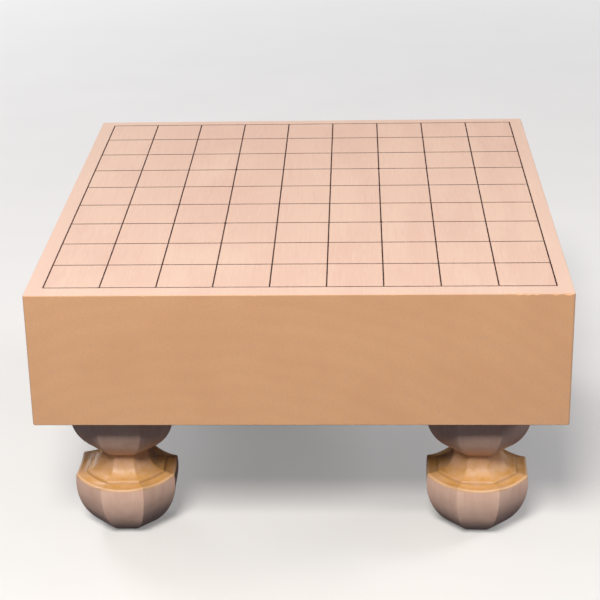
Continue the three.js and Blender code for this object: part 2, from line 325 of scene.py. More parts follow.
@dataclass(frozen=True, kw_only=True)
class WaxedAgathis:
    """Agathis under wax: an even, nearly ringless wood with a soft, low sheen.

    The long faces are cream to pinkish with short silky streaks along the fibres, partly figure
    and partly a painted glint, and the ends are tan with faint arcs and pores. The colour turns
    from long face to end where the surface faces along the fibres by a share between cut_from
    and cut_to. Edges come up paler, partly from wear and partly as a painted highlight.
    """

    name: str
    grain: Grain
    long_face: str = "#F0CDB7"
    streak: str = "#E4BAA8"
    # Paler colour of the silky streaks, partly figure and partly a painted glint; the block's
    # border takes it too, as a painted highlight.
    silk: str = "#F6DAC6"
    fleck: str = "#D3A68C"
    cut_face: str = "#EAB587"
    cut_ring: str = "#DBA379"
    # Paler colour of the edges and rims: partly wear, partly a painted highlight.
    wear_and_highlight: str = "#E8C6AA"
    heart: tuple[float, float, float] = (-60.0, 0.0, -150.0)
    ring_pitch: float = 13.0
    ring_waver: float = 1.6
    cloud_figure: Figure = Figure(42.0, 84.0, 3.0)
    # Real streaks and rays are 0.1 to 0.5 mm wide and real pores 0.2 mm, too fine to show. They
    # are drawn as coarse as they need to be.
    streak_figure: Figure = Figure(2.0, 34.0, 3.0)
    silk_figure: Figure = Figure(0.9, 14.0, 2.0)
    pore_figure: Figure = Figure(1.1, 1.1, 2.0)
    figure_roughness: float = 0.55
    gloss: Gloss = Gloss(roughness=0.56, spread=0.10, ior=1.48, coat=0.04, coat_roughness=0.32)
    fibre_relief: float = 0.02
    cut_from: float = 0.2
    cut_to: float = 0.7

    def figured(self, shading: Shading, figure: Figure) -> Socket:
        """Noise that is drawn out along the fibres.

        Args:
            shading: The material in the making.
            figure: How large its blotches are.

        Returns:
            The noise, about 0.5 on average.
        """
        sizes = [figure.length if axis == self.grain.value else figure.width for axis in range(3)]
        drawn_out = shading.add("Mapping", inputs={
            "Vector": shading.coordinates["Object"], "Scale": [1 / (size * MM) for size in sizes]})
        return shading.add("TexNoise", inputs={
            "Vector": drawn_out["Vector"], "Scale": 1.0, "Detail": figure.layers,
            "Roughness": self.figure_roughness})["Fac"]

    def rings(self, shading: Shading) -> Socket:
        """Growth rings round the heart of the tree: arcs on the ends, bands on the long faces.

        Args:
            shading: The material in the making, with its clouds.

        Returns:
            Waves from 0 to 1, one to a ring.
        """
        flat = [0.0 if axis == self.grain.value else 1 / (self.ring_pitch * MM)
                for axis in range(3)]
        heart = [-value * MM * scale for value, scale in zip(self.heart, flat)]
        section = shading.add("Mapping", inputs={
            "Vector": shading.coordinates["Object"], "Scale": flat, "Location": heart})
        reach = shading.add("VectorMath", {"operation": "LENGTH"}, {0: section["Vector"]})
        uneven = shading.add("Math", {"operation": "MULTIPLY_ADD"}, {
            0: shading.patterns["clouds"], 1: self.ring_waver, 2: reach["Value"]})
        wave = shading.add("Math", {"operation": "PINGPONG"}, {0: uneven[0], 1: HALF_RING})
        return shading.add("MapRange", {"interpolation_type": "SMOOTHSTEP"}, {
            "Value": wave[0], "From Max": HALF_RING})["Result"]

    def add_patterns(self, shading: Shading) -> None:
        """Adds the patterns that every face shows.

        Args:
            shading: The material in the making.
        """
        patterns = shading.patterns
        patterns["clouds"] = self.figured(shading, self.cloud_figure)
        patterns["streaks"] = self.figured(shading, self.streak_figure)
        patterns["silk"] = self.figured(shading, self.silk_figure)
        patterns["pores"] = self.figured(shading, self.pore_figure)
        patterns["rings"] = self.rings(shading)
        facing = shading.add("SeparateXYZ", inputs={"Vector": shading.coordinates["Normal"]})
        patterns["cut"] = shading.add("Math", {"operation": "ABSOLUTE"}, {
            0: facing[self.grain.value]})[0]

    def painted_highlight(self) -> Iterable[Tint]:
        """Painted highlights that lie on the long faces alone."""
        return ()

    def marks(self) -> Iterable[Tint]:
        """What lies over long faces and ends alike."""
        return ()

    def reliefs(self) -> Mapping[str, float]:
        """How high each pattern stands up."""
        return {"streaks": self.fibre_relief}

    def material(self) -> bpy.types.Material:
        """Builds the material.

        Returns:
            The wood, ready to be put on a piece.
        """
        material = bpy.data.materials.new(self.name)
        shading = Shading(material)
        self.add_patterns(shading)
        ends = shading.laid_over(self.cut_face, (
            Tint("rings", self.cut_ring, 0.0, 1.0, 0.13),
            Tint("clouds", self.cut_ring, 0.36, 0.72, 0.30),
            Tint("pores", self.fleck, 0.42, 0.74, 0.42)))
        colour = shading.laid_over(self.long_face, (
            Tint("rings", self.streak, 0.2, 1.0, 0.22),
            Tint("clouds", self.streak, 0.36, 0.70, 0.38),
            Tint("streaks", self.streak, 0.46, 0.80, 0.42),
            # Silky streaks: partly figure, partly a painted glint.
            Tint("silk", self.silk, 0.50, 0.80, 0.42),
            # Painted highlights on the long faces, such as the block's paler border.
            *self.painted_highlight(),
            Tint("cut", ends, self.cut_from, self.cut_to),
            *self.marks()))
        shading.finish(colour, self.gloss, "streaks", self.reliefs())
        return material


@dataclass(frozen=True, kw_only=True)
class PlanedAgathis(WaxedAgathis):
    """Agathis planed flat and waxed: smooth, with a paler border and paler edges.

    The border is what lies outside the grid's box, and its paleness is a painted highlight. The
    edges are those of the block's box, paler partly from wear and partly as a painted highlight.
    """

    name: str = "agathis_planed_and_waxed"
    grain: Grain = Grain.ALONG_FILES
    grid_box: Box
    block_box: Box
    # How much paler the border round the grid is painted, as a highlight.
    border_paleness: float = 0.28
    edge_paleness: float = 0.22
    # How far the paler edges reach: partly wear, partly a painted highlight.
    pale_edge_reach: float = 1.2

    def outside(self, shading: Shading, box: Box) -> Outputs:
        """How far a place lies outside a box along X, Y and Z, negative inside it.

        Args:
            shading: The material in the making.
            box: The box's lowest and highest corners.

        Returns:
            The three distances.
        """
        low, high = box
        reach = shading.coordinates["Object"]
        for operation, value in (("SUBTRACT", {1: (low + high) / 2}), ("ABSOLUTE", {}),
                                 ("SUBTRACT", {1: (high - low) / 2})):
            reach = shading.add("VectorMath", {"operation": operation}, {0: reach, **value})[0]
        return shading.add("SeparateXYZ", inputs={"Vector": reach})

    def add_patterns(self, shading: Shading) -> None:
        """Adds the border and the edges to the patterns.

        At an edge of a box, the second greatest of the three distances outside it is near 0.

        Args:
            shading: The material in the making.
        """
        super().add_patterns(shading)
        off_grid = self.outside(shading, self.grid_box)
        shading.patterns["border"] = shading.add("Math", {"operation": "MAXIMUM"}, {
            0: off_grid["X"], 1: off_grid["Y"]})[0]
        off_block = self.outside(shading, self.block_box)
        lesser, greater = (shading.add("Math", {"operation": operation}, {
            0: off_block["X"], 1: off_block["Y"]})[0] for operation in ("MINIMUM", "MAXIMUM"))
        middle = shading.add("Math", {"operation": "MINIMUM"}, {0: greater, 1: off_block["Z"]})
        second = shading.add("Math", {"operation": "MAXIMUM"}, {0: lesser, 1: middle[0]})
        shading.patterns["edge"] = shading.add("Math", {"operation": "MULTIPLY_ADD"}, {
            0: shading.patterns["silk"], 1: self.pale_edge_reach * MM, 2: second[0]})[0]

    def painted_highlight(self) -> Iterable[Tint]:
        """The bare border round the grid, painted paler as a highlight."""
        return (Tint("border", self.silk, 0.0, MM, self.border_paleness),)

    def marks(self) -> Iterable[Tint]:
        """The edges, painted paler and unevenly: partly wear, partly a painted highlight."""
        reach = self.pale_edge_reach * MM / 2
        # Paler edges: wear and a painted highlight along the arrises.
        return (Tint("edge", self.wear_and_highlight, -reach, reach, self.edge_paleness),)


@dataclass(frozen=True, kw_only=True)
class CarvedAgathis(WaxedAgathis):
    """Agathis carved, stained on the crown and waxed: shallow gouge cuts and patchy ochre.

    Where the stain, the painted highlight along the rims and the painted shade in the creases at
    the platform's foot lie is painted on the leg's points.
    """

    name: str = "agathis_carved_and_waxed"
    grain: Grain = Grain.UPRIGHT
    long_face: str = "#F4CEB9"
    streak: str = "#E2B39E"
    # Colour of the silky streaks: partly figure, partly a painted glint.
    silk: str = "#F8DBC9"
    fleck: str = "#B88C70"
    cut_face: str = "#E6C0A8"
    cut_ring: str = "#D6AC94"
    # Paler colour of the rims: a painted highlight.
    wear_and_highlight: str = "#E4B67E"
    stain: str = "#D6A05A"
    stain_deep: str = "#C28C3C"
    # Darker colour of the painted shade in the creases between petals and platform.
    crease_shade_colour: str = "#A37440"
    heart: tuple[float, float, float] = (0.0, 0.0, 0.0)
    ring_pitch: float = 9.0
    cloud_figure: Figure = Figure(16.0, 32.0, 3.0)
    streak_figure: Figure = Figure(2.6, 26.0, 3.0)
    gloss: Gloss = Gloss(roughness=0.50, spread=0.10, ior=1.48, coat=0.06, coat_roughness=0.32)
    tool_relief: float = 0.12
    tool_size: float = 7.0
    tool_softness: float = 0.6
    patch_size: float = 6.0
    patch_layers: float = 3.0
    patch_roughness: float = 0.6
    cut_from: float = 0.45
    cut_to: float = 0.95

    def add_patterns(self, shading: Shading) -> None:
        """Adds gouge cuts, patches and what is painted on the leg to the patterns.

        Args:
            shading: The material in the making.
        """
        super().add_patterns(shading)
        patterns, place = shading.patterns, shading.coordinates["Object"]
        patterns["gouge"] = shading.add("TexVoronoi", {"feature": "SMOOTH_F1"}, {
            "Vector": place, "Scale": 1 / (self.tool_size * MM),
            "Smoothness": self.tool_softness})["Distance"]
        patterns["patches"] = shading.add("TexNoise", inputs={
            "Vector": place, "Scale": 1 / (self.patch_size * MM), "Detail": self.patch_layers,
            "Roughness": self.patch_roughness})["Fac"]
        for name in PAINTS:
            patterns[name] = shading.add("Attribute", {"attribute_name": name})["Fac"]
        patterns["stain"] = shading.add("MapRange", {"interpolation_type": "SMOOTHSTEP"}, {
            "Value": patterns["stain"]})["Result"]

    def marks(self) -> Iterable[Tint]:
        """Lays on the ochre stain, patchy as a brush leaves it, the painted shade in the creases
        and the painted highlight on the rims.

        Returns:
            The tints, lowest first.
        """
        return (Tint("patches", self.stain, 0.25, 0.62, 0.95, least=0.6, mask="stain"),
                Tint("patches", self.stain_deep, 0.55, 0.75, 0.6, mask="stain"),
                # Painted shade in the crease between petals and platform.
                Tint("painted_crease_shade", self.crease_shade_colour, most=0.6),
                # The rims' painted highlight.
                Tint("painted_highlight", self.wear_and_highlight, most=0.75))

    def reliefs(self) -> Mapping[str, float]:
        """How high each pattern stands up."""
        return {"streaks": self.fibre_relief, "gouge": self.tool_relief}


@dataclass(frozen=True)
class RaisedLacquer:
    """Black-brown lacquer, laid in lines that stand a little proud.

    It gives thin, dark, glossy ridges that turn brown where the film is thinnest.
    """

    name: str = "lacquer_raised_gloss"
    film: str = "#34140D"
    thin_film: str = "#74351F"
    blotch_size: float = 4.0
    blotch_layers: float = 3.0
    gloss: Gloss = Gloss(roughness=0.32, spread=0.14, ior=1.54, coat=0.08, coat_roughness=0.2)
    relief: float = 0.02

    def material(self) -> bpy.types.Material:
        """Builds the material.

        Returns:
            The lacquer, ready to be put on the grid.
        """
        material = bpy.data.materials.new(self.name)
        shading = Shading(material)
        shading.patterns["blotches"] = shading.add("TexNoise", inputs={
            "Vector": shading.coordinates["Object"], "Scale": 1 / (self.blotch_size * MM),
            "Detail": self.blotch_layers})["Fac"]
        colour = shading.laid_over(self.film, (Tint("blotches", self.thin_film, 0.5, 0.72, 0.7),))
        shading.finish(colour, self.gloss, "blotches", {"blotches": self.relief})
        return material


@dataclass(frozen=True)
class Joinery:
    """The round tenon of a leg and the mortise that takes it."""

    tenon_diameter: float = 30.0
    tenon_length: float = 30.0
    tenon_chamfer: float = 1.5
    clearance: float = 0.3
    end_gap: float = 1.5
    mouth_chamfer: float = 0.5


@dataclass
class PlayingBlock:
    """The thick block: softened edges, four mortises and a square hollow with a pyramid.

    Each chip is where it lies along the front edge of the top, and how deep it goes.
    """

    wood: PlanedAgathis
    joinery: Joinery
    leg_places: list[Vector]
    corner_round: float = 1.4
    edge_round: float = 0.5
    round_segments: int = 6
    edge_cuts: int = 150
    edge_dent: float = 0.2
    dent_size: float = 5.0
    hollow_mouth: float = 90.0
    hollow_floor: float = 76.0
    hollow_depth: float = 22.0
    hollow_chamfer: float = 0.8
    pyramid_foot: float = 56.0
    pyramid_top: float = 30.0
    pyramid_height: float = 16.0
    overrun: float = 2.0
    round_cutter_sides: int = 72
    chip_radius: float = 6.0
    chip_fineness: int = 3
    chips: tuple[tuple[float, float], ...] = (
        (-93.0, 0.4), (-25.0, 0.35), (58.0, 0.3), (133.5, 0.55), (138.5, 0.6), (143.5, 0.5),
        (155.0, 0.55), (162.5, 0.75))
    smooth_degrees: float = 32.0

    def __post_init__(self) -> None:
        """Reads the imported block's box."""
        self.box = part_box("board_slab")

    def blank(self) -> Workpiece:
        """Makes the block before it is cut, with its upright corners and its edges rounded.

        Returns:
            The blank, with many points along its edges for the dents.
        """
        low, high = self.box
        rounding = self.edge_round * MM
        deselect_everything()
        bpy.ops.mesh.primitive_cube_add(size=1, location=(low + high) / 2, scale=high - low)
        block = Workpiece("playing_block")
        with block.editing():
            block.select(Element.EDGE, self.is_upright)
            bpy.ops.mesh.bevel(offset=self.corner_round * MM, segments=self.round_segments)
            block.select(Element.EDGE, lambda edge: all(
                self.depth(vertex.co) < TOUCH for vertex in edge.verts) and self.is_level(edge))
            bpy.ops.mesh.bevel(offset=rounding, segments=self.round_segments)
            block.select(Element.EDGE, lambda edge: self.is_level(edge)
                         and edge.calc_length() > self.hollow_mouth * MM
                         and self.depth(edge.verts[0].co) < rounding + TOUCH)
            bpy.ops.mesh.subdivide(number_cuts=self.edge_cuts)
        return block

    def depth(self, place: Vector) -> float:
        """How far a point lies from the top or the underside, whichever is nearer."""
        low, high = self.box
        return min(abs(place.z - low.z), abs(place.z - high.z))

    def is_upright(self, edge: bmesh.types.BMEdge) -> bool:
        """Whether an edge runs from the underside to the top."""
        return abs(edge.verts[1].co.z - edge.verts[0].co.z) > self.hollow_depth * MM

    def is_level(self, edge: bmesh.types.BMEdge) -> bool:
        """Whether an edge stays on one level."""
        return abs(edge.verts[1].co.z - edge.verts[0].co.z) < TOUCH

    def is_on_edge(self, place: Vector) -> bool:
        """Whether a point lies within the rounding of an edge, off the flat faces.

        Args:
            place: The point.

        Returns:
            True where the block may be dented.
        """
        low, high = self.box
        depths = sorted(min(place[axis] - low[axis], high[axis] - place[axis]) for axis in range(3))
        return (2 * TOUCH < depths[0] and depths[1] < self.corner_round * MM
                and self.depth(place) < self.edge_round * MM - TOUCH)

    def stepped_cutter(self, name: str, place: Vector, sides: int,
                       steps: list[tuple[float, float]]) -> Workpiece:
        """Makes a closed cutter that narrows or widens from step to step as it goes up.

        Args:
            name: The cutter's name.
            place: The middle of the cutter's foot.
            sides: How many sides its outline has.
            steps: Height above the foot and half width of each step.

        Returns:
            The cutter, with its top face selected.
        """
        start = steps[0][1] / math.cos(math.pi / sides) * MM
        deselect_everything()
        bpy.ops.mesh.primitive_circle_add(
            vertices=sides, radius=start, fill_type="NGON", location=place,
            rotation=(0, 0, math.pi / sides))
        cutter = Workpiece(name)
        with cutter.editing():
            bpy.ops.mesh.select_all(action="SELECT")
            for (height, half), (next_height, next_half) in zip(steps, steps[1:]):
                self.extrude(place, next_height - height, next_half / half)
        return cutter

    def extrude(self, axis: Vector, rise: float, growth: float) -> None:
        """Extrudes the selected face upwards and scales it about an upright axis."""
        bpy.ops.mesh.extrude_region_move(TRANSFORM_OT_translate={"value": (0, 0, rise * MM)})
        bpy.ops.transform.resize(value=(growth, growth, 1), center_override=axis)

    def hollow_cutter(self) -> Workpiece:
        """Makes the air of the square hollow, which narrows upwards round a blunt pyramid.

        Returns:
            The cutter.
        """
        foot = Vector((0, 0, self.box[0].z - self.overrun * MM))
        mouth = self.hollow_mouth / 2
        cutter = self.stepped_cutter("hollow_cutter", foot, sides=4, steps=[
            (0, mouth + self.hollow_chamfer + self.overrun),
            (self.overrun + self.hollow_chamfer, mouth),
            (self.overrun + self.hollow_depth, self.hollow_floor / 2)])
        with cutter.editing():
            bpy.ops.mesh.inset(thickness=(self.hollow_floor - self.pyramid_foot) / 2 * MM)
            self.extrude(foot, -self.pyramid_height, self.pyramid_top / self.pyramid_foot)
        return cutter

    def mortise_cutter(self, place: Vector) -> Workpiece:
        """Makes the air of one mortise, with the chamfer at its mouth.

        Args:
            place: The middle of its leg.

        Returns:
            The cutter.
        """
        fit = self.joinery
        foot = Vector((place.x, place.y, self.box[0].z - self.overrun * MM))
        radius = fit.tenon_diameter / 2 + fit.clearance
        return self.stepped_cutter("mortise_cutter", foot, self.round_cutter_sides, [
            (0, radius + fit.mouth_chamfer + self.overrun),
            (self.overrun + fit.mouth_chamfer, radius),
            (self.overrun + fit.tenon_length + fit.end_gap, radius)])

    def chip_cutter(self, along: float, depth: float) -> Workpiece:
        """Makes the air of one small chip in the front edge of the top.

        Args:
            along: Where the chip lies along the edge.
            depth: How deep it goes.

        Returns:
            The cutter, a pebble that only just reaches into the edge.
        """
        low, high = self.box
        inset = self.edge_round * (1 - math.sqrt(0.5))
        stand_off = (self.chip_radius - depth) * math.sqrt(0.5) - inset
        deselect_everything()
        bpy.ops.mesh.primitive_ico_sphere_add(
            subdivisions=self.chip_fineness, radius=self.chip_radius * MM,
            location=(along * MM, low.y - stand_off * MM, high.z + stand_off * MM))
        return Workpiece("chip_cutter")

    def build(self) -> bpy.types.Object:
        """Models the block, dresses it and puts it on its body.

        Returns:
            The finished block.
        """
        block = self.blank()
        block.dent("arris", self.dent_size, self.edge_dent, self.is_on_edge)
        block.combine(self.hollow_cutter())
        for place in self.leg_places:
            block.combine(self.mortise_cutter(place))
        for along, depth in self.chips:
            block.combine(self.chip_cutter(along, depth))
        block.smooth(self.smooth_degrees)
        block.object.data.materials.append(self.wood.material())
        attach(block.object, "board")
        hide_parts("board_slab")
        return block.object


@dataclass
class LacquerGrid:
    """The drawn lines: ten files, ten ranks and four star dots, with rounded tops."""

    lacquer: RaisedLacquer
    squares: int = 9
    square_width: float = 34.8
    square_depth: float = 38.25
    file_width: float = 0.85
    rank_width: float = 0.5
    line_height: float = 0.22
    line_round: float = 0.12
    star_diameter: float = 2.2
    star_height: float = 0.25
    star_round: float = 0.16
    star_offset_squares: float = 1.5
    star_sides: int = 28
    round_segments: int = 3
    smooth_degrees: float = 35.0

    def lattice(self, middle: Vector) -> Workpiece:
        """Makes the lines: a sheet of squares is inset, opened, thickened and rounded.

        The sheet is made longer than the grid, so that one inset gives files and ranks of
        different widths when it is squeezed to its real length.

        Args:
            middle: The middle of the grid, on the bare wood.

        Returns:
            The lattice of lines.
        """
        squeeze = self.rank_width / self.file_width
        half_x = self.squares * self.square_width / 2
        half_y = self.squares * self.square_depth / squeeze / 2
        half_line = self.file_width / 2
        deselect_everything()
        bpy.ops.mesh.primitive_grid_add(
            x_subdivisions=self.squares, y_subdivisions=self.squares, size=2 * half_x * MM,
            location=middle)
        lattice = Workpiece("lacquer_lines")
        with lattice.editing():
            bpy.ops.mesh.select_all(action="SELECT")
            bpy.ops.transform.resize(value=(1, half_y / half_x, 1), center_override=middle)
            bpy.ops.mesh.inset(thickness=half_line * MM, use_individual=True)
            bpy.ops.mesh.delete(type="FACE")
            lattice.select(Element.EDGE, lambda edge: edge.is_boundary and all(
                abs(abs(vertex.co.x - middle.x) - half_x * MM) < TOUCH or
                abs(abs(vertex.co.y - middle.y) - half_y * MM) < TOUCH
                for vertex in edge.verts))
            bpy.ops.mesh.extrude_region_move()
            bpy.ops.transform.resize(
                value=((half_x + half_line) / half_x, (half_y + half_line) / half_y, 1),
                center_override=middle)
            bpy.ops.mesh.select_all(action="SELECT")
            bpy.ops.transform.resize(value=(1, squeeze, 1), center_override=middle)
            bpy.ops.mesh.remove_doubles(threshold=TOUCH)
            bpy.ops.mesh.select_all(action="SELECT")
            bpy.ops.mesh.normals_make_consistent(inside=False)
            bpy.ops.mesh.extrude_region_move(
                TRANSFORM_OT_translate={"value": (0, 0, self.line_height * MM)})
            bpy.ops.mesh.select_all(action="SELECT")
            bpy.ops.mesh.normals_make_consistent(inside=False)
            self.round_over(lattice, middle.z + self.line_height * MM, self.line_round)
        return lattice

    def round_over(self, piece: Workpiece, level: float, radius: float) -> None:
        """Rounds the rim of everything that ends at one level.

        Args:
            piece: The piece in edit mode.
            level: The level, in metres.
            radius: How far the rounding goes.
        """
        piece.select(Element.EDGE, lambda edge: all(
            abs(vertex.co.z - level) < TOUCH for vertex in edge.verts) and any(
            abs(face.normal.z) < UPRIGHT_BELOW for face in edge.link_faces))
        bpy.ops.mesh.bevel(offset=radius * MM, segments=self.round_segments)

    def star(self, place: Vector) -> Workpiece:
        """Makes one star dot, a low, domed button of lacquer.

        Args:
            place: The middle of its foot.

        Returns:
            The dot.
        """
        deselect_everything()
        height = self.star_height * MM
        bpy.ops.mesh.primitive_cylinder_add(
            vertices=self.star_sides, radius=self.star_diameter / 2 * MM, depth=height,
            location=place + Vector((0, 0, height / 2)))
        star = Workpiece("star_dot")
        with star.editing():
            self.round_over(star, place.z + height, self.star_round)
        return star

    def build(self) -> bpy.types.Object:
        """Models the grid, dresses it and puts it on its body.

        Returns:
            The finished grid.
        """
        low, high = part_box("lacquer_grid")
        middle = Vector(((low.x + high.x) / 2, (low.y + high.y) / 2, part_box("board_slab")[1].z))
        lattice = self.lattice(middle)
        offset_x = self.star_offset_squares * self.square_width * MM
        offset_y = self.star_offset_squares * self.square_depth * MM
        for x in (-offset_x, offset_x):
            for y in (-offset_y, offset_y):
                lattice.combine(self.star(middle + Vector((x, y, 0))), Overlap.JOINED)
        lattice.smooth(self.smooth_degrees)
        lattice.object.data.materials.append(self.lacquer.material())
        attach(lattice.object, "board")
        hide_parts("lacquer_grid")
        return lattice.object


@dataclass(frozen=True)
class Ring:
    """One ring round a leg: values for the columns of a side, from its ridge to its middle."""

    half_widths: tuple[float, ...]
    heights: tuple[float, ...]
    stain: float = 0.0
    # Share of the painted highlight along the rim.
    painted_highlight: float = 0.0
    # Share of the painted shade in the crease at the foot of the platform.
    painted_crease_shade: float = 0.0


@dataclass(frozen=True)
class TallCorner:
    """A corner of a crown that the carver left taller than the others, leaning inwards.

    Its direction is in degrees round the leg.
    """

    direction: float
    rise: float
    lean: float
    reach: float


@dataclass
class CarvedLegs:
    """Four eight-sided legs: lower bulb, scalloped crown, neck, upper bulb and round tenon.

    Half widths are measured square to a flat side. Heights follow one another downwards from the
    underside of the block, and a drop is how far a level lies below it. Turns are in degrees.
    """

    wood: CarvedAgathis
    joinery: Joinery
    sides: int = 8
    columns: int = 4
    shoulder_to_upper_belly: float = 12.0
    upper_belly_to_neck: float = 28.0
    neck_to_platform: float = 13.7
    platform_step: float = 1.0
    ridge_fall: float = 0.4
    rim_to_belly: float = 6.0
    belly_to_foot: float = 34.2
    upper_belly: float = 33.6
    neck: float = 15.2
    platform: float = 25.0
    belly: float = 33.0
    foot: float = 15.0
    rim_scallop: float = 2.4
    inner_scallop: float = 1.0
    petal_dish: float = 0.6
    rim_lip: float = 1.1
    rim_lip_rise: float = 0.9
    bulb_rings: int = 22
    petal_rings: int = 6
    neck_rings: int = 9
    edge_round: float = 0.45
    round_segments: int = 2
    round_from_degrees: float = 13.0
    smooth_degrees: float = 35.0
    carving_depth: float = 0.22
    carving_size: float = 11.0
    stain_climb: float = 4.0
    neck_paleness: float = 0.36
    turns: Mapping[str, float] = field(default_factory=lambda: {
        "front_left": 1.0, "front_right": -2.0, "rear_left": 0.0, "rear_right": 0.0})
    tall_corners: Mapping[str, TallCorner] = field(default_factory=lambda: {
        "front_left": TallCorner(direction=158.5, rise=3.6, lean=2.4, reach=34.0)})

    def __post_init__(self) -> None:
        """Works out the levels that follow from the sizes, as drops below the block."""
        self.neck_drop = self.shoulder_to_upper_belly + self.upper_belly_to_neck
        self.ridge_drop = self.neck_drop + self.neck_to_platform + self.platform_step
        self.rim_drop = self.ridge_drop + self.ridge_fall
        self.belly_drop = self.rim_drop + self.rim_to_belly
        self.upper_span = self.span(self.upper_belly, self.neck, self.upper_belly_to_neck)
        self.lower_span = self.span(self.belly, self.foot, self.belly_to_foot)
        self.boxes = {name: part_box(f"leg_{name}") for name in self.turns}
        self.shoulder_level = self.boxes["front_left"][1].z / MM - self.joinery.tenon_length

    @staticmethod
    def span(belly: float, end: float, height: float) -> float:
        """Semi-axis of an ellipse that narrows from belly to end over a height."""
        return height / math.sqrt(1 - (end / belly) ** 2)

    def places(self) -> list[Vector]:
        """The middles of the four legs."""
        return [(low + high) / 2 for low, high in self.boxes.values()]

    def offsets(self) -> list[float]:
        """How far each column is from the middle of a side: 1 at the ridge, 0 in the middle."""
        return [1 - column / self.columns for column in range(self.columns + 1)]

    def flat_sided(self, half_width: float, drop: float, stain: float = 0.0) -> Ring:
        """A level ring with flat sides."""
        count = self.columns + 1
        return Ring((half_width,) * count, (self.shoulder_level - drop,) * count, stain)

    def turned(self, radius: float, rise: float) -> Ring:
        """Makes a level round ring above the shoulder.

        Args:
            radius: How far it reaches from the middle.
            rise: How far it lies above the shoulder.

        Returns:
            The ring.
        """
        half_side = math.tan(math.pi / self.sides)
        widths = tuple(radius * math.cos(math.atan(off * half_side)) for off in self.offsets())
        return Ring(widths, (self.shoulder_level + rise,) * len(widths))

    def sweep(self, first: float, last: float) -> Iterator[float]:
        """Even steps from a first angle to a last one, one for each ring of a bulb."""
        step = (last - first) / (self.bulb_rings - 1)
        return (first + step * index for index in range(self.bulb_rings))

    def lower_bulb(self) -> Iterator[Ring]:
        """Makes the rings from the foot up to just under the scallops of the rim.

        Returns:
            The rings, lowest first.
        """
        floor_of_scallops = self.rim_drop + self.rim_scallop + self.rim_lip
        for angle in self.sweep(math.asin(self.belly_to_foot / self.lower_span),
                                math.asin((floor_of_scallops - self.belly_drop) / self.lower_span)):
            yield self.flat_sided(self.belly * math.cos(angle),
                                  self.belly_drop + self.lower_span * math.sin(angle))

    def crown(self) -> Iterator[Ring]:
        """Makes the rings of the scooped petals: rim, lip, and in to the platform.

        The rim and lip carry a painted highlight, and the crease at the platform's foot carries
        painted shade.

        Returns:
            The rings, lowest first.
        """
        bows = [1 - off ** 2 for off in self.offsets()]
        rim_drops = [self.rim_drop + self.rim_scallop * bow for bow in bows]
        rim_widths = tuple(
            self.belly * math.sqrt(1 - ((drop - self.belly_drop) / self.lower_span) ** 2)
            for drop in rim_drops)
        # The rim and its lip carry a painted highlight.
        yield Ring(rim_widths, tuple(self.shoulder_level - drop for drop in rim_drops), painted_highlight=1.0)
        lip_widths = tuple(width - self.rim_lip for width in rim_widths)
        lip_drops = [drop - self.rim_lip_rise * bow for drop, bow in zip(rim_drops, bows)]
        yield Ring(lip_widths, tuple(self.shoulder_level - drop for drop in lip_drops),
                   stain=0.4, painted_highlight=0.8)
        inner_width = self.platform + self.platform_step
        for step in range(1, self.petal_rings + 1):
            share = step / self.petal_rings
            widths = tuple(width + (inner_width - width) * share for width in lip_widths)
            dish = self.petal_dish * 4 * share * (1 - share)
            heights = tuple(
                self.shoulder_level - drop - dish * bow
                - share * (self.ridge_drop + self.inner_scallop * bow - drop)
                for drop, bow in zip(lip_drops, bows))
            # The last petal ring lies in the crease at the platform's foot and carries painted
            # shade.
            yield Ring(widths, heights, stain=1.0, painted_crease_shade=float(step == self.petal_rings))

    def neck_and_bulb(self) -> Iterator[Ring]:
        """Makes the rings up the neck, a quarter of an ellipse, and round the upper bulb.

        Returns:
            The rings, lowest first.
        """
        for index in range(self.neck_rings):
            angle = index / self.neck_rings * math.pi / 2
            yield self.flat_sided(
                self.platform + (self.neck - self.platform) * math.sin(angle),
                self.neck_drop + self.neck_to_platform * math.cos(angle),
                1.0 - self.neck_paleness * math.sin(angle))
        for angle in self.sweep(math.asin(self.upper_belly_to_neck / self.upper_span),
                                -math.asin(self.shoulder_to_upper_belly / self.upper_span)):
            drop = self.shoulder_to_upper_belly + self.upper_span * math.sin(angle)
            fade = max(0.0, 1 - (self.neck_drop - drop) / self.stain_climb)
            yield self.flat_sided(self.upper_belly * math.cos(angle), drop,
                                  (1 - self.neck_paleness) * fade)

    def tenon(self) -> Iterator[Ring]:
        """Makes the rings of the round tenon above the shoulder.

        Returns:
            The rings, lowest first.
        """
        fit = self.joinery
        radius = fit.tenon_diameter / 2
        yield self.turned(radius, 0.0)
        yield self.turned(radius, fit.tenon_length - fit.tenon_chamfer)
        yield self.turned(radius - fit.tenon_chamfer, fit.tenon_length)

    def column_of(self, place: Vector) -> int:
        """Finds the column that a point stands on.

        Args:
            place: The point, round the upright axis through the origin.

        Returns:
            From 0 at the ridge to the number of columns in the middle of a side.
        """
        pitch = 2 * math.pi / self.sides
        angle = (math.atan2(place.y, place.x) + pitch / 2) % pitch - pitch / 2
        return round((1 - abs(math.tan(angle) / math.tan(pitch / 2))) * self.columns)

    def is_rim(self, vertex: bmesh.types.BMVert) -> bool:
        """Whether a vertex bounds the many-sided face that closes the leg's upper end."""
        return vertex.co.z > TOUCH and any(len(face.verts) > 4 for face in vertex.link_faces)

